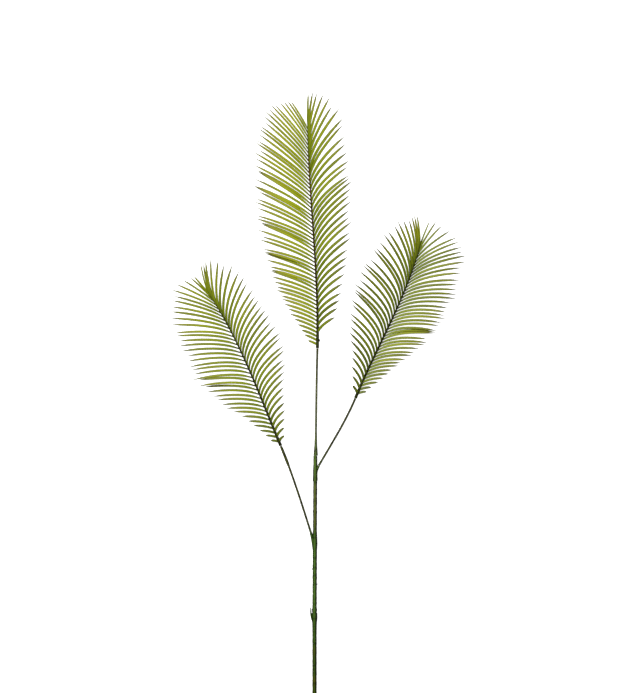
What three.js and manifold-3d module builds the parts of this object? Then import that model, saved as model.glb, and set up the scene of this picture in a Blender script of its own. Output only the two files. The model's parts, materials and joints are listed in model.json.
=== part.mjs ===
// A cut spray of cycad leaves on one branching stem, lying on a table.
// Each leaf is a feather of narrow leaflets along a dark rib, plugged on to its own petiole.
// Millimetres and degrees, +Z up. The stem lies along +Y with its cut end first, and the table is z = 0.
import * as THREE from "three";
import { mergeVertices } from "three/addons/utils/BufferGeometryUtils.js";
import Module from "manifold-3d";

const wasm = await Module();
wasm.setup();

// Driving dimensions of the stem
const STEM_RADIUS = 3.1;
const STEM_SIDES = 12;
const STEM_AXIS_Z = STEM_RADIUS * Math.cos(Math.PI / STEM_SIDES); // a flat of the stem lies on the table
const CUP_RADIUS = 4.1; // rim of the sheath that tops the lower stem
const CUP_Y = 125;
const KNOB = { y: 129, radius: 3.6, halfLength: 1 }; // a ring just above the sheath
const SCARS = [{ y: 139, swell: 0.3 }, { y: 174.5, swell: 0.25 }, { y: 187, swell: 0.25 }];
const SCAR_REACH = 1.5; // from the top of a scar to its foot, along the stem
const FORK = { y: 225, radius: 3.6, above: 15, below: 19 }; // a swelling where the left branch leaves
const UPPER_RADIUS = 2.85; // the stem is thinner above the fork
const UPPER_SCAR = { y: 267, swell: 0.25 };
const SLEEVE = { y: 310, radius: 3.4 }; // lower edge of the sleeve round the stem's top
const STEM_TOP = { y: 345, radius: 2.75 };
const MAIN_LEAN = -0.3; // the main stem leans a little to the right of the lower one

// Plug joints: a peg on one piece stands in a socket in the next
const GAP = 0.3;
const STEM_PEG = { radius: 1.7, length: 10 };
const PETIOLE_PEG = { radius: 1.05, length: 8 };
const PEG_SIDES = 8;
const PEG_ROOT = 2; // how far a peg is rooted in its own piece

// Side branches: where each boss grows out of the stem, where it ends, and its lean from the stem
const BOSS_SIDES = 10;
const BRANCHES = {
  left: { from: [0, 206], end: [-5, 237], lean: 17.5, radius: 2 },
  right: { from: [1, 312], end: [5.8, 331], lean: -30, radius: 2 },
};

// Petioles and ribs
const PETIOLE_RADIUS = 1.6;
const PETIOLE_SIDES = 8;
const PETIOLE_STEPS = 14;
const PETIOLE_SLEEVE = { from: 0.78, to: 0.97, swell: 0.45 }; // the left petiole is thicker below its leaf
const PETIOLE_PULL = 0.33; // how far each end keeps its direction, as a share of the petiole's length
const TOP_PETIOLE_FOOT = { at: [1.6, 345.3], lean: -0.6, radius: 3.2 };
const RIB_RADIUS = { base: 2.3, shoulder: 1.9, tip: 0.8 };
const RIB_SIDES = 8;
const RIB_STEPS = 24;

// Leaflets
const LEAFLET_SIDES = 3; // a flat top and a keel below
const LEAFLET_STEPS = 5;
const LEAFLET_DEPTH = 1.1; // from the flat top to the keel
const LEAFLET_PULL = 0.34; // how far a leaflet keeps its first direction, as a share of its length
const LEAFLET_SLIM = { from: 0.8, least: 0.72 }; // leaflets are slimmer near the leaf's end
const LEAFLET_TILT = 16; // each leaflet's lower edge is tucked under the next
const LEAFLET_ARCH = 12; // extra rise at the root, so that a leaflet arches over
const LEAFLET_TUFT = 2.2; // turn from one leaflet to the next that brings the tips of a tuft together
const SWAY = { spread: 1, length: 0.04, lift: 3 };

// The leaves. A rib is four control points of a curve. Each side's lengths and spreads run evenly from the
// leaf's base to its end: spread is the angle between rib and leaflet, and leave is its share at the root.
// A tuft gives the first and last leaflet of some whose tips lean together.
const LEAVES = {
  top: {
    rib: [[4, 495.5, 2.4], [7, 600, 0.6], [-8, 700, 0.6], [-9.5, 806, 9]],
    left: {
      seed: 11, count: 56, from: 0.015, to: 0.985, width: 3.4, lift: 6, leave: 0.8,
      length: [15, 43, 64, 74, 84, 88, 91, 94, 92, 82, 46],
      spread: [66, 67, 68, 68, 64, 60, 56, 52, 46, 40, 30],
      tufts: [[14, 16], [18, 20], [24, 27], [31, 33], [35, 37], [41, 42], [44, 45]],
    },
    right: {
      seed: 23, count: 34, from: 0.07, to: 1, width: 4, lift: 30, leave: 0.38,
      length: [32, 46, 60, 71, 75, 79, 72, 78, 83, 73, 43],
      spread: [48, 50, 46, 46, 43, 45, 48, 43, 36, 21, 2],
      tufts: [[18, 19], [20, 21], [25, 26]],
    },
  },
  left: {
    rib: [[-47.2, 358.7, 2.4], [-78.6, 433.7, 0.6], [-104.6, 506.7, 0.6], [-147, 571, 9]],
    left: {
      seed: 37, count: 37, from: 0.025, to: 1, width: 3.3, lift: 8, leave: 0.68,
      length: [12, 31, 57, 73, 81, 80, 82, 83, 80, 67, 32],
      spread: [56, 58, 63, 65, 67, 67, 63, 59, 47, 36, 7],
      tufts: [[12, 13], [14, 15], [35, 36]],
    },
    right: {
      seed: 41, count: 33, from: 0.025, to: 1, width: 3.6, lift: 24, leave: 0.36,
      length: [12, 30, 46, 60, 70, 72, 69, 70, 78, 66, 42],
      spread: [62, 56, 55, 59, 58, 54, 51, 48, 40, 25, 18],
      tufts: [[11, 12], [13, 14], [21, 22], [23, 24], [27, 28], [30, 32]],
    },
  },
  right: {
    rib: [[57.2, 425.7, 2.4], [87.6, 498.6, 0.6], [127.3, 563.2, 0.6], [146, 634.8, 9]],
    left: {
      seed: 53, count: 32, from: 0.025, to: 1, width: 3.6, lift: 24, leave: 0.36,
      length: [14, 36, 54, 66, 76, 78, 77, 79, 75, 62, 45],
      spread: [50, 52, 59, 61, 62, 61, 58, 51, 41, 27, 20],
      tufts: [[10, 11], [12, 14], [17, 18], [20, 21], [25, 26]],
    },
    right: {
      seed: 67, count: 42, from: 0.025, to: 1, width: 3.3, lift: 8, leave: 0.5,
      length: [14, 36, 52, 66, 72, 74, 78, 82, 82, 71, 40],
      spread: [52, 53, 56, 58, 60, 61, 60, 56, 50, 42, 6],
      tufts: [[15, 17], [34, 35]],
    },
  },
};

const MATERIALS = {
  stem: new THREE.MeshStandardMaterial({ name: "stem", color: "#4f7030", roughness: 0.6, metalness: 0 }),
  petiole: new THREE.MeshStandardMaterial({ name: "petiole", color: "#565a3a", roughness: 0.6, metalness: 0 }),
  leaf: new THREE.MeshStandardMaterial({ name: "leaf", color: "#8c9844", roughness: 0.55, metalness: 0 }),
};

const UP = new THREE.Vector3(0, 0, 1);
const ALONG_Y = new THREE.Vector3(0, 1, 0);
const radians = THREE.MathUtils.degToRad;

// A repeatable number from -1 to 1 for each key.
function chance(key) {
  const value = Math.sin(key * 12.9898) * 43758.5453;
  return 2 * (value - Math.floor(value)) - 1;
}

// A value from an evenly spaced list, at a share of the way along it.
function between(values, share) {
  const place = share * (values.length - 1);
  const index = Math.min(Math.floor(place), values.length - 2);
  return THREE.MathUtils.lerp(values[index], values[index + 1], place - index);
}

// The direction in the table's plane that leans this far from the stem, positive to the left.
function leaning(lean) {
  return new THREE.Vector3(-Math.sin(radians(lean)), Math.cos(radians(lean)), 0);
}

function solidOf(geometry) {
  geometry.deleteAttribute("normal");
  geometry.deleteAttribute("uv");
  const merged = mergeVertices(geometry, 1e-4);
  return new wasm.Manifold(
    new wasm.Mesh({
      numProp: 3,
      vertProperties: merged.attributes.position.array,
      triVerts: new Uint32Array(merged.index.array),
    }),
  );
}

function geometryOf(solid) {
  const mesh = solid.getMesh();
  const geometry = new THREE.BufferGeometry();
  geometry.setAttribute("position", new THREE.BufferAttribute(mesh.vertProperties, 3));
  geometry.setIndex(new THREE.BufferAttribute(mesh.triVerts, 1));
  geometry.computeVertexNormals();
  return geometry;
}

// A round body bent along a curve. section(t) gives its half width and half depth there, tilt turns it
// about the curve, and a pointed body closes to a point at the curve's end.
function sweep(curve, { sides, steps, turn, section, tilt = 0, pointed = false }) {
  const geometry = new THREE.CylinderGeometry(pointed ? 0 : 1, 1, 1, sides, steps, false, turn);
  const vertices = geometry.attributes.position;
  for (let i = 0; i < vertices.count; i++) {
    const t = THREE.MathUtils.clamp(vertices.getY(i) + 0.5, 0, 1);
    const ring = new THREE.Vector2(vertices.getX(i), vertices.getZ(i));
    if (ring.length() > 1e-6) ring.normalize();
    const along = curve.getTangent(t);
    const normal = UP.clone().applyAxisAngle(along, tilt);
    const across = new THREE.Vector3().crossVectors(along, normal).normalize();
    const above = new THREE.Vector3().crossVectors(across, along);
    const [halfWidth, halfDepth] = section(t);
    const point = curve.getPoint(t).addScaledVector(across, ring.x * halfWidth);
    point.addScaledVector(above, ring.y * halfDepth);
    vertices.setXYZ(i, point.x, point.y, point.z);
  }
  return solidOf(geometry);
}

// A round rod along a direction, reaching back behind its start and forward by its length.
function rod(start, direction, radius, length, back) {
  const geometry = new THREE.CylinderGeometry(radius, radius, length + back, PEG_SIDES);
  geometry.translate(0, (length - back) / 2, 0);
  geometry.applyQuaternion(new THREE.Quaternion().setFromUnitVectors(ALONG_Y, direction));
  geometry.translate(start.x, start.y, start.z);
  return solidOf(geometry);
}

// A peg is rooted in its own piece, and its socket is open at the mouth.
function pegFrom(start, direction, { radius, length }) {
  return rod(start, direction, radius, length - GAP, PEG_ROOT);
}

function socketIn(mouth, direction, { radius, length }) {
  return rod(mouth, direction, radius + GAP, length + GAP, PEG_ROOT);
}

// A turned body along the stem's axis, from pairs of y and radius. It leans about the sheath.
function turned(profile, lean = 0) {
  const outline = profile.map(([y, radius]) => new THREE.Vector2(radius, y));
  outline.unshift(new THREE.Vector2(0, profile[0][0]));
  outline.push(new THREE.Vector2(0, profile.at(-1)[0]));
  const geometry = new THREE.LatheGeometry(outline, STEM_SIDES, Math.PI / STEM_SIDES);
  geometry.translate(0, -CUP_Y, 0).rotateZ(radians(lean)).translate(0, CUP_Y, STEM_AXIS_Z);
  return solidOf(geometry);
}

// What lies on the table is flat where it touches it.
function laidDown(solid) {
  const size = 2000;
  const table = new THREE.BoxGeometry(size, size, size).translate(0, 0, -size / 2);
  return solid.subtract(solidOf(table));
}

function onStem([x, y]) {
  return new THREE.Vector3(x, y, STEM_AXIS_Z);
}

// The lower stem ends in a sheath, whose edge runs out into a small hook on the left.
function lowerStem() {
  const body = turned([
    [0, STEM_RADIUS],
    [100, STEM_RADIUS],
    [112, 3.4],
    [119, CUP_RADIUS],
    [CUP_Y, CUP_RADIUS],
  ]);
  const hookPoints = [[-2.4, 114], [-6, 123], [-5.3, 133]].map(onStem);
  const hookLine = new THREE.QuadraticBezierCurve3(...hookPoints);
  const hook = sweep(hookLine, {
    sides: 6,
    steps: 5,
    turn: 0,
    section: (t) => [1.4 - 0.6 * t, 1.6 - 0.8 * t],
  });
  const socket = socketIn(onStem([0, CUP_Y]), ALONG_Y.clone().negate(), STEM_PEG);
  return laidDown(body.add(hook).subtract(socket));
}

// A short arm of the stem that a side petiole plugs into.
function boss({ from, end, lean, radius }) {
  const tip = onStem(end);
  const elbow = tip.clone().addScaledVector(leaning(lean), -PETIOLE_PEG.length);
  const line = new THREE.QuadraticBezierCurve3(onStem(from), elbow, tip);
  return sweep(line, {
    sides: BOSS_SIDES,
    steps: 6,
    turn: Math.PI / BOSS_SIDES,
    section: () => [radius, radius],
  });
}

// The main stem has scars round it like a twig's, a swelling at the left branch and a sleeve at its top.
function mainStem() {
  const scar = ({ y, swell }, radius) => [
    [y - SCAR_REACH, radius],
    [y, radius + swell],
    [y + SCAR_REACH, radius],
  ];
  const foot = CUP_Y + GAP;
  let body = turned([
    [foot, STEM_RADIUS],
    [KNOB.y - KNOB.halfLength, KNOB.radius],
    [KNOB.y + KNOB.halfLength, KNOB.radius],
    [KNOB.y + 3 * KNOB.halfLength, STEM_RADIUS],
    ...SCARS.flatMap((mark) => scar(mark, STEM_RADIUS)),
    [FORK.y - FORK.below, STEM_RADIUS],
    [FORK.y, FORK.radius],
    [FORK.y + FORK.above, UPPER_RADIUS],
    ...scar(UPPER_SCAR, UPPER_RADIUS),
    [SLEEVE.y - GAP, UPPER_RADIUS],
    [SLEEVE.y, SLEEVE.radius],
    [STEM_TOP.y, STEM_TOP.radius],
  ], MAIN_LEAN);
  body = body.add(pegFrom(onStem([0, foot]), ALONG_Y.clone().negate(), STEM_PEG));
  for (const branch of Object.values(BRANCHES)) {
    const socket = socketIn(onStem(branch.end), leaning(branch.lean).negate(), PETIOLE_PEG);
    body = body.add(boss(branch)).subtract(socket);
  }
  const top = TOP_PETIOLE_FOOT;
  const topSocket = socketIn(onStem(top.at), leaning(top.lean).negate(), PETIOLE_PEG);
  return laidDown(body.subtract(topSocket));
}

function ribCurve({ rib }) {
  return new THREE.CubicBezierCurve3(...rib.map((point) => new THREE.Vector3(...point)));
}

// A petiole from its place on the stem to the foot of its leaf's rib, with a peg at each end.
function petiole(foot, direction, leaf, footRadius, sleeve = 0) {
  const rib = ribCurve(leaf);
  const ribStart = rib.getPoint(0);
  const ribDirection = rib.getTangent(0);
  const end = ribStart.clone().addScaledVector(ribDirection, -GAP);
  const pull = PETIOLE_PULL * foot.distanceTo(end);
  const line = new THREE.CubicBezierCurve3(
    foot,
    foot.clone().addScaledVector(direction, pull),
    end.clone().addScaledVector(ribDirection, -pull),
    end,
  );
  const flare = footRadius - PETIOLE_RADIUS;
  const body = sweep(line, {
    sides: PETIOLE_SIDES,
    steps: PETIOLE_STEPS,
    turn: Math.PI / PETIOLE_SIDES,
    section: (t) => {
      const inSleeve = t > PETIOLE_SLEEVE.from && t < PETIOLE_SLEEVE.to;
      const radius = PETIOLE_RADIUS + flare * Math.max(0, 1 - 4 * t) ** 2 + (inSleeve ? sleeve : 0);
      return [radius, radius];
    },
  });
  const lowPeg = pegFrom(foot, direction.clone().negate(), PETIOLE_PEG);
  const highPeg = pegFrom(end, ribDirection, PETIOLE_PEG);
  return laidDown(body.add(lowPeg).add(highPeg));
}

function sidePetiole({ end, lean }, leaf, sleeve) {
  const direction = leaning(lean);
  return petiole(onStem(end).addScaledVector(direction, GAP), direction, leaf, PETIOLE_RADIUS, sleeve);
}

function topPetiole(leaf) {
  const { at, lean, radius } = TOP_PETIOLE_FOOT;
  return petiole(onStem(at), leaning(lean), leaf, radius);
}

// The midline of a leaflet: it leaves the rib at a slant, bends outwards and arches over.
function leafletLine(rib, side, sign, index) {
  const share = index / (side.count - 1);
  const t = THREE.MathUtils.lerp(side.from, side.to, share);
  const root = rib.getPoint(t);
  const forward = rib.getTangent(t);
  const bearing = Math.atan2(forward.y, forward.x);
  const key = side.seed + index;
  const tuft = side.tufts.find(([low, high]) => index >= low && index <= high) ?? [index, index];
  const lean = LEAFLET_TUFT * (index - (tuft[0] + tuft[1]) / 2);
  const spread = radians(between(side.spread, share) + lean + SWAY.spread * chance(key));
  const length = between(side.length, share) * (1 + SWAY.length * chance(key + 0.3));
  const lift = side.lift + SWAY.lift * chance(key + 0.6);
  const reach = (angle, distance, rise) => {
    const way = new THREE.Vector3(Math.cos(angle), Math.sin(angle), Math.tan(radians(rise)));
    return root.clone().addScaledVector(way, distance);
  };
  return new THREE.QuadraticBezierCurve3(
    root,
    reach(bearing + sign * spread * side.leave, LEAFLET_PULL * length, lift + LEAFLET_ARCH),
    reach(bearing + sign * spread, length, lift),
  );
}

// A leaflet widens from its root, keeps its width and then narrows to a sharp tip.
function leaflet(rib, side, sign, index) {
  const past = Math.max(0, index / (side.count - 1) - LEAFLET_SLIM.from) / (1 - LEAFLET_SLIM.from);
  const width = side.width * THREE.MathUtils.lerp(1, LEAFLET_SLIM.least, past);
  const widest = width / 2 / Math.cos(Math.PI / 6);
  const deepest = LEAFLET_DEPTH / 1.5;
  return sweep(leafletLine(rib, side, sign, index), {
    sides: LEAFLET_SIDES,
    steps: LEAFLET_STEPS,
    turn: Math.PI,
    section: (t) => [widest * Math.min(1, 0.5 + 2 * t) * (1 - t ** 8), deepest * (1 - 0.45 * t)],
    tilt: sign * radians(LEAFLET_TILT),
    pointed: true,
  });
}

// A leaf: the rib with its socket, and both rows of leaflets grown into it.
function leafBody(leaf) {
  const rib = ribCurve(leaf);
  const { base, shoulder, tip } = RIB_RADIUS;
  const ribRadius = (t) => Math.max(THREE.MathUtils.lerp(shoulder, tip, t), base - 4 * t);
  const pieces = [
    sweep(rib, {
      sides: RIB_SIDES,
      steps: RIB_STEPS,
      turn: Math.PI / RIB_SIDES,
      section: (t) => [ribRadius(t), ribRadius(t)],
    }),
  ];
  for (const [side, sign] of [[leaf.left, 1], [leaf.right, -1]]) {
    for (let index = 0; index < side.count; index++) pieces.push(leaflet(rib, side, sign, index));
  }
  const socket = socketIn(rib.getPoint(0), rib.getTangent(0), PETIOLE_PEG);
  return laidDown(wasm.Manifold.union(pieces).subtract(socket));
}

function piece(name, solid, material) {
  const mesh = new THREE.Mesh(geometryOf(solid), material);
  mesh.name = name;
  return mesh;
}

const laid = new THREE.Group();
laid.add(
  piece("lower_stem", lowerStem(), MATERIALS.stem),
  piece("main_stem", mainStem(), MATERIALS.stem),
  piece("petiole_top", topPetiole(LEAVES.top), MATERIALS.petiole),
  piece("petiole_left", sidePetiole(BRANCHES.left, LEAVES.left, PETIOLE_SLEEVE.swell), MATERIALS.petiole),
  piece("petiole_right", sidePetiole(BRANCHES.right, LEAVES.right), MATERIALS.petiole),
  piece("leaf_top", leafBody(LEAVES.top), MATERIALS.leaf),
  piece("leaf_left", leafBody(LEAVES.left), MATERIALS.leaf),
  piece("leaf_right", leafBody(LEAVES.right), MATERIALS.leaf),
);

// The origin is on the table, under the middle of the spray.
const box = new THREE.Box3().setFromObject(laid);
const middle = box.getCenter(new THREE.Vector3());
laid.position.set(-middle.x, -middle.y, -box.min.z);

const spray = new THREE.Group();
spray.name = "cycad_leaf_spray";
spray.add(laid);

export default spray;
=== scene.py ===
import json
from math import atan2, cos, floor, pi, radians, sin, tan

import bmesh
import bpy
from mathutils import Matrix, Quaternion, Vector


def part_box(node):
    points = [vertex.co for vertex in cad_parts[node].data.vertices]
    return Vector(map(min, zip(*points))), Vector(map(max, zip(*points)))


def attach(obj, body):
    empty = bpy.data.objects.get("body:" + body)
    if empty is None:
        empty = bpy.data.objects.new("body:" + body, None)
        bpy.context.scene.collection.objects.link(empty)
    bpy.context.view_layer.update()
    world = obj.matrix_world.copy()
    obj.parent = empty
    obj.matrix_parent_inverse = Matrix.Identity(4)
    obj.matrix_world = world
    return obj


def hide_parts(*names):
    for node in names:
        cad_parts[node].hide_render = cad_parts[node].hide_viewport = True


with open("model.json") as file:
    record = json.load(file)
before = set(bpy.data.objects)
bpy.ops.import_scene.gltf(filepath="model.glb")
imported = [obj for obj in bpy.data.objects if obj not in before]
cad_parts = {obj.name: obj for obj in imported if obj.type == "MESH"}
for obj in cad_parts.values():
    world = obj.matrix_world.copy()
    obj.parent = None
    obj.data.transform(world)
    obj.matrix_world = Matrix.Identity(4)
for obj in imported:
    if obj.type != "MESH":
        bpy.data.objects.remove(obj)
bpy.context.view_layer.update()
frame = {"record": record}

# Where the spray lies in the frame: the stem's axis is over its rest, and its cut end is the lowest in Y
MM = 0.001
stem_rest = frame["record"]["mounts"][0]["pos_m"]
stem_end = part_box("lower_stem")[0]
PLACE = Matrix.Translation((stem_rest[0], stem_end[1], 0)) @ Matrix.Scale(MM, 4)

# Driving dimensions of the stem
STEM_RADIUS = 3.1
STEM_AXIS_Z = 2.99
STEM_SIDES = 28
STEM_RING = 3.0  # length of stem between two rings of its mesh
STEM_LUMP = 0.09  # how far the moulded bark stands out
PAINTED_LIGHT_TURN = radians(8)  # the painted highlight along the top of every stem, and the painted shade on its flanks, lie a little to the left, towards the key light
CUP_RADIUS = 4.1
CUP_Y = 125
CUP_DEPTH = 4  # how deep the main stem stands in the sheath
SHEATH = ((100, STEM_RADIUS), (112, 3.4), (119, CUP_RADIUS))  # how the lower stem swells to its sheath
HOOK = {"line": ((-2.4, 114), (-6, 123), (-5.3, 133)), "radius": 1.5, "taper": 0.9}
KNOB = {"y": 129, "radius": 3.6, "half_length": 1}
SCARS = ((139, 0.35), (174.5, 0.3), (187, 0.3))
SCAR_REACH = 1.5
FORK = {"y": 225, "radius": 3.6, "above": 15, "below": 19}
UPPER_RADIUS = 2.85
UPPER_SCAR = (267, 0.3)
SLEEVE = {"y": 310, "radius": 3.4}
STEM_TOP = {"y": 345, "radius": 2.75}
MAIN_LEAN = -0.3
# Knobs left by fallen leaves: place, radius, and how far each is drawn out sideways
STEM_NUBS = (((-3.3, 186.5), 0.7, 1.2), ((3.6, 165.4), 0.8, 1.3))

# Side branches, petioles and ribs
BRANCHES = {
    "left": {"start": (0, 206), "end": (-5, 237), "lean": 17.5, "radius": 2},
    "right": {"start": (1, 312), "end": (5.8, 331), "lean": -30, "radius": 2},
}
BOSS_LENGTH = 8
TOP_PETIOLE = {"foot": (1.6, 345.3), "lean": -0.6, "radius": 3.2}
PETIOLE_RADIUS = 1.6
PETIOLE_SLEEVE = {"start": 0.78, "end": 0.97, "swell": 0.45}  # the left petiole is thicker below its leaf
PETIOLE_PULL = 0.33
RIB_BASE, RIB_SHOULDER, RIB_TIP = 2.3, 1.9, 0.8
GAP = 0.3
TUBE_SIDES = 14

# Leaflets
LEAFLET_STEPS = 9
LEAFLET_THICKNESS = 0.6
LEAFLET_FOLD = 0.3  # rise of a leaflet's edges above its midline, as a share of its half width
LEAFLET_PULL = 0.34
LEAFLET_SLIM = {"start": 0.8, "least": 0.72}  # leaflets are slimmer near the leaf's end
LEAFLET_TILT = 16
LEAFLET_ARCH = 12
LEAFLET_TWIST = 14  # most that a leaflet turns about its midline by its tip
LEAFLET_TUFT = 2.2  # turn from one leaflet to the next that brings the tips of a tuft together
SWAY = {"spread": 1, "length": 0.04, "lift": 3, "tone_and_painted_light": 0.3}

# The leaves. A rib is four control points of a curve. Each row's lengths and spreads run evenly from the
# leaf's base to its end: spread is the angle between rib and leaflet, and leave is its share at the root.
# Tone makes a row paler or deeper from its base to its end, as the leaflets' own tone and as painted light:
# the top leaf's left row is painted paler, as the side that faces the light, and its right row deeper. Clear
# says how soon its leaflets leave the painted shade at their roots. A tuft gives the first and last leaflet
# of some whose tips lean together.
LEAVES = {
    "top": {
        "rib": ((4, 495.5, 2.4), (7, 600, 0.6), (-8, 700, 0.6), (-9.5, 806, 9)),
        "left": {
            "seed": 11, "count": 56, "first": 0.015, "last": 0.985, "width": 3.4, "lift": 6, "leave": 0.8,
            "length": (15, 43, 64, 74, 84, 88, 91, 94, 92, 82, 46),
            "spread": (66, 67, 68, 68, 64, 60, 56, 52, 46, 40, 30),
            "tufts": ((14, 16), (18, 20), (24, 27), (31, 33), (35, 37), (41, 42), (44, 45)),
            "tone_and_painted_light": (0.2, 0.6, 0.62, 0.64, 0.66, 0.68), "root_shade_clears": 1,
        },
        "right": {
            "seed": 23, "count": 34, "first": 0.07, "last": 1, "width": 4, "lift": 30, "leave": 0.38,
            "length": (32, 46, 60, 71, 75, 79, 72, 78, 83, 73, 43),
            "spread": (48, 50, 46, 46, 43, 45, 48, 43, 36, 21, 2),
            "tufts": ((18, 19), (20, 21), (25, 26)),
            "tone_and_painted_light": (-0.4, -0.12, 0, 0.08, 0.14, 0.2), "root_shade_clears": 2,
        },
    },
    "left": {
        "rib": ((-47.2, 358.7, 2.4), (-78.6, 433.7, 0.6), (-104.6, 506.7, 0.6), (-147, 571, 9)),
        "left": {
            "seed": 37, "count": 37, "first": 0.025, "last": 1, "width": 3.3, "lift": 8, "leave": 0.68,
            "length": (12, 31, 57, 73, 81, 80, 82, 83, 80, 67, 32),
            "spread": (56, 58, 63, 65, 67, 67, 63, 59, 47, 36, 7),
            "tufts": ((12, 13), (14, 15), (35, 36)),
            "tone_and_painted_light": (-0.6, 0.08, 0.15, 0.2, 0.25, 0.3), "root_shade_clears": 1,
        },
        "right": {
            "seed": 41, "count": 33, "first": 0.025, "last": 1, "width": 3.6, "lift": 24, "leave": 0.36,
            "length": (12, 30, 46, 60, 70, 72, 69, 70, 78, 66, 42),
            "spread": (62, 56, 55, 59, 58, 54, 51, 48, 40, 25, 18),
            "tufts": ((11, 12), (13, 14), (21, 22), (23, 24), (27, 28), (30, 32)),
            "tone_and_painted_light": (-0.6, -0.15, -0.05, 0, 0.1, 0.2), "root_shade_clears": 1.6,
        },
    },
    "right": {
        "rib": ((57.2, 425.7, 2.4), (87.6, 498.6, 0.6), (127.3, 563.2, 0.6), (146, 634.8, 9)),
        "left": {
            "seed": 53, "count": 32, "first": 0.025, "last": 1, "width": 3.6, "lift": 24, "leave": 0.36,
            "length": (14, 36, 54, 66, 76, 78, 77, 79, 75, 62, 45),
            "spread": (50, 52, 59, 61, 62, 61, 58, 51, 41, 27, 20),
            "tufts": ((10, 11), (12, 14), (17, 18), (20, 21), (25, 26)),
            "tone_and_painted_light": (-0.6, -0.25, -0.15, -0.1, 0, 0.65), "root_shade_clears": 1.6,
        },
        "right": {
            "seed": 67, "count": 42, "first": 0.025, "last": 1, "width": 3.3, "lift": 8, "leave": 0.5,
            "length": (14, 36, 52, 66, 72, 74, 78, 82, 82, 71, 40),
            "spread": (52, 53, 56, 58, 60, 61, 60, 56, 50, 42, 6),
            "tufts": ((15, 17), (34, 35)),
            "tone_and_painted_light": (-0.4, 0.15, 0.12, 0.04, -0.04, -0.1), "root_shade_clears": 1,
        },
    },
}

UP = Vector((0, 0, 1))


# Numbers and curves

def chance(key):
    """A repeatable number from -1 to 1 for each key."""
    value = sin(key * 12.9898) * 43758.5453
    return 2 * (value - floor(value)) - 1


def between(values, share):
    """A value from an evenly spaced list, at a share of the way along it."""
    place = share * (len(values) - 1)
    index = min(int(place), len(values) - 2)
    return values[index] + (values[index + 1] - values[index]) * (place - index)


def leaning(lean):
    """The direction on the table that leans this far from the stem, positive to the left."""
    return Vector((-sin(radians(lean)), cos(radians(lean)), 0))


def on_stem(x, y):
    return Vector((x, y, STEM_AXIS_Z))


def point_on(line, t):
    """The point at t, from 0 to 1, on the curve with these control points."""
    points = list(line)
    while len(points) > 1:
        points = [a.lerp(b, t) for a, b in zip(points, points[1:])]
    return points[0]


def heading_on(line, t):
    return point_on([b - a for a, b in zip(line, line[1:])], t).normalized()


def section_on(line, t, tilt=0.0):
    """The middle of a body's cross-section at t, with the directions across it and above it."""
    along = heading_on(line, t)
    across = along.cross(Quaternion(along, tilt) @ UP).normalized()
    return point_on(line, t), across, across.cross(along)


# Shaping

def tube(bm, line, radius, steps, sides=TUBE_SIDES):
    """A round closed body along a curve, from its radius at t. It keeps t and how far it faces the painted
    light, for a painted highlight on top and painted shade on the flanks.
    """
    layers = bm.verts.layers.float
    skin = bmesh.ops.create_grid(bm, x_segments=sides, y_segments=steps, size=0.5)["verts"]
    for vert in skin:
        turn = 2 * pi * vert.co.x
        t = vert.co.y + 0.5
        middle, across, above = section_on(line, t)
        vert.co = middle + radius(t) * (sin(turn) * across + cos(turn) * above)
        vert[layers["along"]] = t
        # how far this side faces up and a little left, which the material turns into a painted highlight and
        # painted shade
        vert[layers["painted_light_facing"]] = cos(turn + PAINTED_LIGHT_TURN)
    bmesh.ops.remove_doubles(bm, verts=skin, dist=1e-4)
    bmesh.ops.holes_fill(bm, edges=[edge for edge in bm.edges if edge.is_boundary])


def ringed(profile):
    """A profile of (y, radius) pairs with rings added, so that no stretch is longer than a ring."""
    rings = [profile[0]]
    for (y0, r0), (y1, r1) in zip(profile, profile[1:]):
        count = max(1, round(abs(y1 - y0) / STEM_RING))
        for step in range(1, count + 1):
            share = step / count
            ease = (1 - cos(pi * share)) / 2
            rings.append((y0 + (y1 - y0) * share, r0 + (r1 - r0) * ease))
    return rings


def turned(bm, profile, lean=0.0):
    """A turned length of stem from (y, radius) pairs, with lumps like bark. It leans about the sheath."""
    outline = [bm.verts.new((radius, y, 0)) for y, radius in ringed(profile)]
    edges = [bm.edges.new(pair) for pair in zip(outline, outline[1:])]
    bmesh.ops.spin(bm, geom=outline + edges, cent=(0, 0, 0), axis=(0, 1, 0), angle=2 * pi,
                   steps=STEM_SIDES, use_merge=True)
    bmesh.ops.remove_doubles(bm, verts=bm.verts, dist=1e-4)
    for vert in bm.verts:
        turn = atan2(vert.co.x, vert.co.z)
        # how far this side faces up and a little left, which the material turns into a painted highlight and
        # painted shade
        vert[bm.verts.layers.float["painted_light_facing"]] = cos(turn + PAINTED_LIGHT_TURN)
        out = Vector((vert.co.x, 0, vert.co.z))
        lump = sin(0.42 * vert.co.y + 2 * turn) + sin(0.9 * vert.co.y - 3 * turn + 1)
        if out.length > STEM_RADIUS / 2:
            vert.co += out.normalized() * STEM_LUMP * lump
    pivot = Matrix.Translation((0, CUP_Y, 0))
    turn_about = pivot @ Matrix.Rotation(radians(lean), 4, "Z") @ pivot.inverted()
    bmesh.ops.transform(bm, matrix=Matrix.Translation((0, 0, STEM_AXIS_Z)) @ turn_about, verts=bm.verts)


def nub(bm, centre, size, stretch):
    """A small moulded knob."""
    place = Matrix.Translation(centre) @ Matrix.Diagonal((*stretch, 1))
    bmesh.ops.create_icosphere(bm, subdivisions=2, radius=size, matrix=place)


def new_mesh(*layers):
    bm = bmesh.new()
    for layer in layers:
        bm.verts.layers.float.new(layer)
    return bm


SHARP_EDGE = radians(38)


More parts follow.
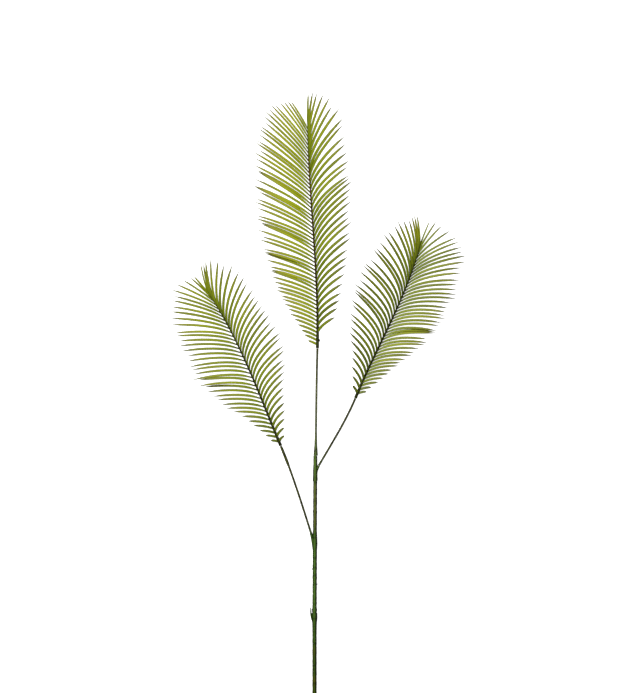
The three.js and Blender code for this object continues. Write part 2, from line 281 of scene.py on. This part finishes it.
def finished(bm, name, material, node):
    """Turns a shaped mesh into a piece of the spray that stands for a node of the frame."""
    for vert in bm.verts:
        vert.co.z = max(vert.co.z, 0)
    bmesh.ops.recalc_face_normals(bm, faces=bm.faces)
    for face in bm.faces:
        face.smooth = True
    for edge in bm.edges:
        edge.smooth = edge.calc_face_angle(0) < SHARP_EDGE
    bmesh.ops.transform(bm, matrix=PLACE, verts=bm.verts)
    mesh = bpy.data.meshes.new(name)
    bm.to_mesh(mesh)
    bm.free()
    mesh.materials.append(material)
    piece = bpy.data.objects.new(name, mesh)
    bpy.context.collection.objects.link(piece)
    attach(piece, "root")
    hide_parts(node)


# Materials

def colour(hex_code):
    """An sRGB hex colour as the linear values that a shader reads."""
    channels = [int(hex_code[i:i + 2], 16) / 255 for i in (1, 3, 5)]
    linear = [c / 12.92 if c <= 0.04045 else ((c + 0.055) / 1.055) ** 2.4 for c in channels]
    return (*linear, 1.0)


def new_material(name):
    material = bpy.data.materials.new(name)
    material.use_nodes = True
    return material


def add(owner, kind, inputs=(), stops=(), **settings):
    """Adds a node with its settings, its colour stops, and its inputs as values or sockets to link."""
    made = owner.node_tree.nodes.new("ShaderNode" + kind)
    for name, value in settings.items():
        setattr(made, name, value)
    for index, (place, hex_code) in enumerate(stops):
        marks = made.color_ramp.elements
        mark = marks[index] if index < 2 else marks.new(place)
        mark.position = place
        mark.color = colour(hex_code)
    wire(owner, made, dict(inputs))
    return made


def wire(owner, made, inputs):
    """Sets a node's inputs to values, or links them to sockets."""
    for name, value in inputs.items():
        socket = next(s for s in made.inputs if name in (s.identifier, s.name))
        if isinstance(value, bpy.types.NodeSocket):
            owner.node_tree.links.new(value, socket)
        else:
            socket.default_value = value


def leaflet_plastic():
    """Dyed polyethylene, moulded thin: satin, dark at its tip, with painted shade at its root and along its
    edges, and streaked along.
    """
    material = new_material("dyed_and_painted_light_leaflet")
    along, across, past_root_shade, tone_and_painted_light = [
        add(material, "Attribute", attribute_name=name).outputs["Fac"]
        for name in ("along", "across", "past_root_shade", "tone_and_painted_light")
    ]
    # the dye runs a little darker at the root, part of the painted shade there, and darker at the tip
    dye = add(material, "ValToRGB", {"Fac": along}, stops=[
        (0.0, "#5f6c16"), (0.25, "#76811e"), (0.6, "#7e8522"), (0.86, "#797d2a"), (1.0, "#4b4b30"),
    ]).outputs["Color"]
    place = add(material, "CombineXYZ", {"X": across, "Y": along, "Z": tone_and_painted_light}).outputs["Vector"]
    # streaks of dye about a quarter of the blade wide and a third of it long
    stretched = add(material, "VectorMath", {"Vector": place, "Vector_001": (4, 3, 40)},
                    operation="MULTIPLY").outputs["Vector"]
    streak = add(material, "TexNoise", {"Vector": stretched, "Scale": 1.0, "Detail": 3.0}).outputs["Fac"]
    # painted shade darkens the edges of a blade, as if its section curved away from the light, and the angle at
    # its root, under the rib
    edge = add(material, "Math", {"Value": across}, operation="ABSOLUTE").outputs["Value"]
    shades = [
        add(material, "MapRange", {"Value": streak, "To Min": 0.7, "To Max": 1.3}),
        # tone makes a blade paler or deeper: its own tone, and painted light on the rows that face the light
        add(material, "MapRange", {"Value": tone_and_painted_light, "From Min": -1.0, "To Min": 0.46, "To Max": 1.82}),
        add(material, "MapRange", {"Value": edge, "From Min": 0.45, "To Min": 1.0, "To Max": 0.62}),
        add(material, "MapRange", {"Value": past_root_shade, "From Min": 0.02, "From Max": 0.15, "To Min": 0.18}),
    ]
    value = shades[0].outputs["Result"]
    for shade in shades[1:]:
        value = add(material, "Math", {"Value": value, "Value_001": shade.outputs["Result"]},
                    operation="MULTIPLY").outputs["Value"]
    # deeper leaflets are greener, and each one turns yellower and greener along its streaks
    turned_green = add(material, "MapRange", {
        "Value": tone_and_painted_light, "From Min": -0.5, "From Max": 0.7, "To Min": 0.014, "To Max": -0.008,
    }).outputs["Result"]
    streaked = add(material, "MapRange", {
        "Value": streak, "To Min": 0.485, "To Max": 0.515,
    }).outputs["Result"]
    hue = add(material, "Math", {"Value": streaked, "Value_001": turned_green}).outputs["Value"]
    dyed_with_painted_light = add(material, "HueSaturation", {
        "Hue": hue, "Saturation": 1.06, "Value": value, "Color": dye,
    }).outputs["Color"]
    roughness = add(material, "MapRange", {"Value": streak, "To Min": 0.42, "To Max": 0.6}).outputs["Result"]
    bump = add(material, "Bump", {"Height": streak, "Strength": 0.35, "Distance": 0.1 * MM}).outputs["Normal"]
    shader = material.node_tree.nodes["Principled BSDF"]
    wire(material, shader, {
        "Base Color": dyed_with_painted_light, "Roughness": roughness, "Normal": bump, "IOR": 1.5, "Specular IOR Level": 0.3,
    })
    return material


def moulded_stem_plastic(name, stops, patch, mottle_mm, gloss, flank_painted_shade):
    """Moulded polyethylene, dyed dark with wiped patches: satin, mottled, finely pitted, with a painted
    highlight along its top and painted shade on its flanks.
    """
    material = new_material(name)
    along = add(material, "Attribute", attribute_name="along").outputs["Fac"]
    painted_light_facing = add(material, "Attribute", attribute_name="painted_light_facing").outputs["Fac"]
    place = add(material, "TexCoord").outputs["Object"]
    dye = add(material, "ValToRGB", {"Fac": along}, stops=stops).outputs["Color"]
    # patches of wiped colour, drawn out three times as long as wide
    long_patches = add(material, "Mapping", {"Vector": place, "Scale": (1, 0.34, 1)}).outputs["Vector"]
    mottle = add(material, "TexNoise", {"Vector": long_patches, "Scale": 1 / (mottle_mm * MM), "Detail": 4.0})
    wiped = add(material, "MapRange", {
        "Value": mottle.outputs["Fac"], "From Min": 0.46, "From Max": 0.64, "To Max": 0.6,
    })
    mixed = add(material, "Mix", {
        "Factor_Float": wiped.outputs["Result"], "A_Color": dye, "B_Color": colour(patch),
    }, data_type="RGBA").outputs[2]
    # pits of the mould's bark texture, about 1.4 mm apart
    pits = add(material, "TexNoise", {"Vector": place, "Scale": 1 / (1.4 * MM), "Detail": 2.0}).outputs["Fac"]
    pitted = add(material, "MapRange", {"Value": pits, "To Min": 0.7, "To Max": 1.3}).outputs["Result"]
    # painted light: a pale painted highlight along the top, a little to the left, and painted shade on the
    # flanks; rings about 5 mm apart keep the dark first coat
    painted_light_band = add(material, "MapRange", {"Value": painted_light_facing, "From Min": 0.78, "From Max": 0.985, "To Min": flank_painted_shade})
    ringwise = add(material, "Mapping", {"Vector": place, "Scale": (0.12, 1, 0.12)}).outputs["Vector"]
    ring = add(material, "TexNoise", {
        "Vector": ringwise, "Scale": 1 / (5 * MM), "Detail": 2.0,
    }).outputs["Fac"]
    ringed_dark = add(material, "MapRange", {"Value": ring, "From Min": 0.36, "From Max": 0.5, "To Min": 0.5})
    shade = pitted
    for layer in (painted_light_band, ringed_dark):
        shade = add(material, "Math", {"Value": shade, "Value_001": layer.outputs["Result"]},
                    operation="MULTIPLY").outputs["Value"]
    dyed_with_painted_light = add(material, "HueSaturation", {"Value": shade, "Color": mixed}).outputs["Color"]
    roughness = add(material, "MapRange", {"Value": pits, "To Min": 0.42, "To Max": 0.65}).outputs["Result"]
    bump = add(material, "Bump", {"Height": pits, "Strength": 0.5, "Distance": 0.25 * MM}).outputs["Normal"]
    shader = material.node_tree.nodes["Principled BSDF"]
    wire(material, shader, {
        "Base Color": dyed_with_painted_light, "Roughness": roughness, "Normal": bump, "IOR": 1.5, "Specular IOR Level": gloss,
    })
    return material


def white_paper():
    """Matt white paper on the table. Its own light, as from a light box, keeps it pale under the leaves."""
    material = new_material("white_paper")
    place = add(material, "TexCoord").outputs["Object"]
    fibre = add(material, "TexNoise", {"Vector": place, "Scale": 1 / (2 * MM)}).outputs["Fac"]
    tint = add(material, "ValToRGB", {"Fac": fibre}, stops=[
        (0.0, "#f4f4f2"), (1.0, "#fafaf8"),
    ]).outputs["Color"]
    shader = material.node_tree.nodes["Principled BSDF"]
    wire(material, shader, {
        "Base Color": tint, "Roughness": 0.9, "Specular IOR Level": 0.1,
        "Emission Color": colour("#ffffff"), "Emission Strength": 0.95,
    })
    return material


# Stem

def keep_height(bm):
    """Keeps on each point of the stem how far up the whole stem it is."""
    layer = bm.verts.layers.float["along"]
    for vert in bm.verts:
        vert[layer] = vert.co.y / STEM_TOP["y"]


def lower_stem(material):
    """The lower stem, its sheath, and the hook that the sheath's edge runs out into."""
    bm = new_mesh("along", "painted_light_facing")
    inner = STEM_RADIUS + 0.2
    turned(bm, [
        (0, 0),
        (0, STEM_RADIUS - 0.3),
        (0.3, STEM_RADIUS),
        *SHEATH,
        (CUP_Y - 0.3, CUP_RADIUS),
        (CUP_Y, CUP_RADIUS - 0.2),
        (CUP_Y - 0.2, inner),
        (CUP_Y - CUP_DEPTH, inner),
        (CUP_Y - CUP_DEPTH, 0),
    ])
    hook = [on_stem(*point) for point in HOOK["line"]]
    tube(bm, hook, lambda t: HOOK["radius"] - HOOK["taper"] * t ** 1.5, steps=8, sides=10)
    keep_height(bm)
    finished(bm, "stem_lower", material, "lower_stem")


def boss(bm, branch):
    """A short arm of the stem that a side petiole plugs into."""
    tip = on_stem(*branch["end"])
    elbow = tip - leaning(branch["lean"]) * BOSS_LENGTH
    tube(bm, (on_stem(*branch["start"]), elbow, tip), lambda t: branch["radius"], steps=14)


def scar(mark, radius):
    """A ring round the stem, as a fallen leaf leaves."""
    y, swell = mark
    return [(y - SCAR_REACH, radius), (y, radius + swell), (y + SCAR_REACH, radius)]


def main_stem(material):
    """The stem above the sheath: scars, the arms of both branches, and the sleeve at its top."""
    bm = new_mesh("along", "painted_light_facing")
    foot = CUP_Y - CUP_DEPTH + 0.5
    turned(bm, [
        (foot, 0),
        (foot, STEM_RADIUS),
        (CUP_Y + GAP, STEM_RADIUS),
        (KNOB["y"] - KNOB["half_length"], KNOB["radius"]),
        (KNOB["y"] + KNOB["half_length"], KNOB["radius"]),
        (KNOB["y"] + 3 * KNOB["half_length"], STEM_RADIUS),
        *[ring for mark in SCARS for ring in scar(mark, STEM_RADIUS)],
        (FORK["y"] - FORK["below"], STEM_RADIUS),
        (FORK["y"], FORK["radius"]),
        (FORK["y"] + FORK["above"], UPPER_RADIUS),
        *scar(UPPER_SCAR, UPPER_RADIUS),
        (SLEEVE["y"] - GAP, UPPER_RADIUS),
        (SLEEVE["y"], SLEEVE["radius"]),
        (STEM_TOP["y"] - 0.4, STEM_TOP["radius"]),
        (STEM_TOP["y"], STEM_TOP["radius"] - 0.3),
        (STEM_TOP["y"], 0),
    ], MAIN_LEAN)
    for branch in BRANCHES.values():
        boss(bm, branch)
    for place, size, drawn_out in STEM_NUBS:
        nub(bm, on_stem(*place), size, (drawn_out, 1, 1))
    keep_height(bm)
    finished(bm, "stem_main", material, "main_stem")


# Petioles

def rib_line(leaf):
    return [Vector(point) for point in leaf["rib"]]


def petiole(name, foot, direction, leaf, foot_radius, material, sleeve=0.0):
    """A petiole from its foot on the stem to its leaf's rib."""
    rib = rib_line(leaf)
    rib_heading = heading_on(rib, 0)
    end = rib[0] - rib_heading * GAP
    pull = PETIOLE_PULL * (end - foot).length
    line = (foot, foot + direction * pull, end - rib_heading * pull, end)
    flare = foot_radius - PETIOLE_RADIUS

    def radius(t):
        lump = 0.05 * sin(46 * t) + 0.04 * sin(90 * t + 2)
        in_sleeve = PETIOLE_SLEEVE["start"] < t < PETIOLE_SLEEVE["end"]
        return PETIOLE_RADIUS + lump + flare * max(0, 1 - 4 * t) ** 2 + in_sleeve * sleeve

    bm = new_mesh("along", "painted_light_facing")
    tube(bm, line, radius, steps=60)
    finished(bm, name, material, name.replace("stalk", "petiole"))


# Leaves

def leaflet_line(rib, row, sign, index):
    """A leaflet's midline: it leaves the rib at a slant, bends outwards and arches over."""
    share = index / (row["count"] - 1)
    t = row["first"] + (row["last"] - row["first"]) * share
    root = point_on(rib, t)
    forward = heading_on(rib, t)
    bearing = atan2(forward.y, forward.x)
    key = row["seed"] + index
    low, high = next((tuft for tuft in row["tufts"] if tuft[0] <= index <= tuft[1]), (index, index))
    lean = LEAFLET_TUFT * (index - (low + high) / 2)
    spread = radians(between(row["spread"], share) + lean + SWAY["spread"] * chance(key))
    length = between(row["length"], share) * (1 + SWAY["length"] * chance(key + 0.3))
    lift = row["lift"] + SWAY["lift"] * chance(key + 0.6)

    def reach(angle, distance, rise):
        return root + distance * Vector((cos(angle), sin(angle), tan(radians(rise))))

    bend = reach(bearing + sign * spread * row["leave"], LEAFLET_PULL * length, lift + LEAFLET_ARCH)
    return root, bend, reach(bearing + sign * spread, length, lift)


def leaflet_width(row, share):
    """The width of a leaflet that grows at this share of the way along its row."""
    past = max(0, share - LEAFLET_SLIM["start"]) / (1 - LEAFLET_SLIM["start"])
    return row["width"] * (1 - (1 - LEAFLET_SLIM["least"]) * past)


def leaflet(bm, line, width, root_shade_clears, tilt, twist, tone_and_painted_light):
    """A thin blade folded along its midline, narrow at its root and sharp at its tip."""
    layers = bm.verts.layers.float
    blade = bmesh.ops.create_grid(bm, x_segments=2, y_segments=LEAFLET_STEPS, size=0.5)["verts"]
    for vert in blade:
        across = 2 * vert.co.x
        t = vert.co.y + 0.5
        half = width / 2 * min(1, 0.45 + 2.1 * t) * (1 - 0.97 * t ** 12)
        middle, side, above = section_on(line, t, tilt + twist * t)
        vert.co = middle + half * (across * side + LEAFLET_FOLD * abs(across) * above)
        vert[layers["along"]] = t
        vert[layers["across"]] = across
        # how far the blade has come out of the painted shade at its root
        vert[layers["past_root_shade"]] = root_shade_clears * t
        vert[layers["tone_and_painted_light"]] = tone_and_painted_light


def leaflets(name, leaf, material):
    """Both rows of a leaf's leaflets, rooted at the rib's axis."""
    bm = new_mesh("along", "across", "past_root_shade", "tone_and_painted_light")
    rib = rib_line(leaf)
    for row, sign in ((leaf["left"], 1), (leaf["right"], -1)):
        for index in range(row["count"]):
            key = row["seed"] + index
            share = index / (row["count"] - 1)
            leaflet(
                bm,
                leaflet_line(rib, row, sign, index),
                leaflet_width(row, share),
                row["root_shade_clears"],
                sign * radians(LEAFLET_TILT),
                radians(LEAFLET_TWIST) * chance(key + 0.45),
                between(row["tone_and_painted_light"], share) + SWAY["tone_and_painted_light"] * chance(key + 0.8),
            )
    bmesh.ops.solidify(bm, geom=bm.faces[:], thickness=LEAFLET_THICKNESS)
    finished(bm, f"leaf_{name}_leaflets", material, f"leaf_{name}")


def rib(name, leaf, material):
    """A leaf's rib, with the swelling at its foot that the petiole plugs into."""
    bm = new_mesh("along", "painted_light_facing")

    def radius(t):
        lump = 0.06 * sin(160 * t) * (1 - t)
        return max(RIB_SHOULDER + (RIB_TIP - RIB_SHOULDER) * t, RIB_BASE - 4 * t) + lump

    line = rib_line(leaf)
    tube(bm, line, radius, steps=90)
    foot = point_on(line, 0.03)
    nub(bm, foot + Vector((2.2, 1.5, 0.6)), 1.3, (1, 1.5, 1))
    finished(bm, f"leaf_{name}_rib", material, f"leaf_{name}")


# The spray

# the number that ends each of these materials sets how dark the painted shade on the flanks is
stem_green = moulded_stem_plastic(
    "wiped_and_painted_light_stem",
    [
        (0.0, "#3e4f10"), (0.06, "#405212"), (0.09, "#555812"), (0.12, "#3f5a14"), (0.17, "#3f5a14"),
        (0.2, "#505616"), (0.24, "#3f5c18"), (0.35, "#446220"), (0.42, "#52742c"), (0.6, "#50722a"),
        (0.68, "#446622"), (0.72, "#62692e"), (0.88, "#667036"), (0.9, "#5c7730"), (1.0, "#5c7730"),
    ],
    "#3a4d1a", mottle_mm=9, gloss=0.08, flank_painted_shade=0.14,
)
lower_stem(stem_green)
main_stem(stem_green)

grey_petiole = moulded_stem_plastic(
    "wiped_and_painted_light_petiole_grey",
    [(0.0, "#55712f"), (0.18, "#6a7546"), (0.6, "#6b7049"), (1.0, "#4d5128")],
    "#5c5f3e", mottle_mm=6, gloss=0.1, flank_painted_shade=0.35,
)
olive_petiole = moulded_stem_plastic(
    "wiped_and_painted_light_petiole_olive",
    [(0.0, "#4f622a"), (0.15, "#545832"), (1.0, "#4d5224")],
    "#3e3f24", mottle_mm=6, gloss=0.1, flank_painted_shade=0.35,
)
petiole("stalk_top", on_stem(*TOP_PETIOLE["foot"]), leaning(TOP_PETIOLE["lean"]), LEAVES["top"],
        TOP_PETIOLE["radius"], grey_petiole)
for side, branch in BRANCHES.items():
    direction = leaning(branch["lean"])
    petiole(f"stalk_{side}", on_stem(*branch["end"]) + direction * GAP, direction, LEAVES[side],
            PETIOLE_RADIUS, olive_petiole, PETIOLE_SLEEVE["swell"] if side == "left" else 0.0)

leaf_green = leaflet_plastic()
dark_rib = moulded_stem_plastic(
    "wiped_and_painted_light_rib",
    [(0.0, "#323810"), (0.5, "#2c2c0c"), (0.8, "#444c18"), (1.0, "#626a20")],
    "#241e08", mottle_mm=7, gloss=0.08, flank_painted_shade=0.5,
)
brown_rib = moulded_stem_plastic(
    "wiped_and_painted_light_rib_brown",
    [
        (0.0, "#3a4214"), (0.15, "#2c2a0c"), (0.35, "#38240c"), (0.6, "#4a260a"), (0.75, "#66300a"),
        (0.84, "#664010"), (0.9, "#707a26"),
    ],
    "#2a200a", mottle_mm=7, gloss=0.08, flank_painted_shade=0.5,
)
for side, leaf in LEAVES.items():
    rib(side, leaf, brown_rib if side == "top" else dark_rib)
    leaflets(side, leaf, leaf_green)


# Table, light and camera

def table(material):
    """A wide sheet of paper under the spray."""
    bm = bmesh.new()
    bmesh.ops.create_grid(bm, x_segments=1, y_segments=1, size=4)
    bmesh.ops.translate(bm, verts=bm.verts, vec=(0, 0, -0.2 * MM))
    mesh = bpy.data.meshes.new("table")
    bm.to_mesh(mesh)
    bm.free()
    mesh.materials.append(material)
    sheet = bpy.data.objects.new("table", mesh)
    # the spray is lit from above alone, as when it is held well clear of its background
    sheet.visible_diffuse = False
    sheet.visible_glossy = False
    bpy.context.collection.objects.link(sheet)


def soft_light(name, position, size, energy):
    """A square studio light turned to the middle of the spray."""
    light = bpy.data.lights.new(name, "AREA")
    light.size = size
    light.energy = energy
    lamp = bpy.data.objects.new(name, light)
    lamp.location = position
    lamp.rotation_euler = (-Vector(position)).to_track_quat("-Z", "Y").to_euler()
    bpy.context.collection.objects.link(lamp)


def studio_world(overhead, below):
    """A white studio that is bright overhead and dim below."""
    world = bpy.data.worlds.new("white_studio")
    world.use_nodes = True
    direction = add(world, "TexCoord").outputs["Generated"]
    height = add(world, "SeparateXYZ", {"Vector": direction}).outputs["Z"]
    strength = add(world, "MapRange", {
        "Value": height, "From Min": -0.2, "From Max": 0.2, "To Min": below, "To Max": overhead,
    }).outputs["Result"]
    wire(world, world.node_tree.nodes["Background"], {"Color": colour("#ffffff"), "Strength": strength})
    bpy.context.scene.world = world


def camera():
    """Straight down through a long lens. The frame is 630 by 693 pixels of 1.4 mm each."""
    mm_per_pixel = 1.4
    frame_height = 693 * mm_per_pixel
    middle = PLACE @ Vector((0.7, 497.8, 0))
    lens = bpy.data.cameras.new("camera")
    lens.lens = 120
    lens.sensor_width = 36
    eye = bpy.data.objects.new("camera", lens)
    eye.location = middle + UP * (frame_height * MM * lens.lens / lens.sensor_width)
    bpy.context.collection.objects.link(eye)
    bpy.context.scene.camera = eye


table(white_paper())
studio_world(0.4, 0.1)
soft_light("key", (-1.0, 1.0, 2.2), 1.0, 52)
camera()
bpy.context.scene.view_settings.view_transform = "Standard"
